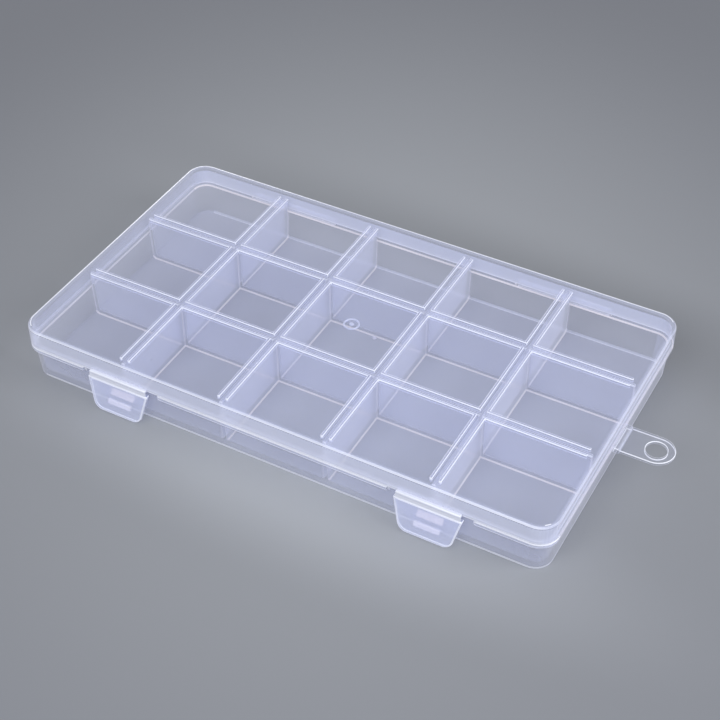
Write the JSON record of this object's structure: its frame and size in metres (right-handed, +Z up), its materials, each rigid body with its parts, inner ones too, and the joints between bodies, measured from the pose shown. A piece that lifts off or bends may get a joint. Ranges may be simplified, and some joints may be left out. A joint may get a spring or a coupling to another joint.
{
  "type": "compartment organizer",
  "caption": "Flat translucent compartment box with a film-hinged lid, fixed divider walls, snap latch flaps along the front and a hang tab with a hole at one end.",
  "frame": {"origin": "centre of the tray's underside, midway between the box's ends, hang tab left out", "axes": "+X along the box towards the hang tab, +Y from the latches to the hinges, +Z up"},
  "size_m": [0.1915, 0.1036, 0.0188],
  "materials": {
    "tray_plastic": "translucent milky polypropylene, satin",
    "lid_plastic": "translucent milky polypropylene, glossy outside",
    "latch_plastic": "translucent milky polypropylene, satin",
    "film_plastic": "thin translucent hinge film"
  },
  "bodies": {
    "tray": {"tray_floor": "tray_plastic", "tray_wall": "tray_plastic", "tray_rim": "tray_plastic", "column_divider_1": "tray_plastic", "column_divider_2": "tray_plastic", "column_divider_3": "tray_plastic", "column_divider_4": "tray_plastic", "row_divider_1": "tray_plastic", "row_divider_2": "tray_plastic", "hang_tab": "tray_plastic", "hinge_tray_bar_left": "tray_plastic", "hinge_tray_bar_right": "tray_plastic", "hinge_film_left": "film_plastic", "hinge_film_right": "film_plastic", "latch_catch_left": "tray_plastic", "latch_catch_right": "tray_plastic"},
    "lid": {"lid_panel": "lid_plastic", "lid_skirt": "lid_plastic", "lid_ribs_row_1": "lid_plastic", "lid_ribs_row_2": "lid_plastic", "lid_ribs_row_3": "lid_plastic", "hinge_lid_bar_left": "lid_plastic", "hinge_lid_bar_right": "lid_plastic", "latch_bar_left": "lid_plastic", "latch_bar_right": "lid_plastic", "latch_film_left": "film_plastic", "latch_film_right": "film_plastic"},
    "latch_left": {"latch_flap_left": "latch_plastic", "latch_hook_left": "latch_plastic"},
    "latch_right": {"latch_flap_right": "latch_plastic", "latch_hook_right": "latch_plastic"}
  },
  "joints": [
    {"name": "lid_hinge", "type": "hinge", "parent": "tray", "child": "lid", "pos_m": [0, 0.0511, 0.01195], "axis": [-1, 0, 0], "range_deg": [0, 178], "deforming": ["hinge_film_left", "hinge_film_right"]},
    {"name": "latch_left_hinge", "type": "hinge", "parent": "lid", "child": "latch_left", "pos_m": [-0.0515, -0.05053, 0.0115], "axis": [-1, 0, 0], "range_deg": [-8, 120], "deforming": ["latch_film_left"]},
    {"name": "latch_right_hinge", "type": "hinge", "parent": "lid", "child": "latch_right", "pos_m": [0.0515, -0.05053, 0.0115], "axis": [-1, 0, 0], "range_deg": [-8, 120], "deforming": ["latch_film_right"]}
  ]
}
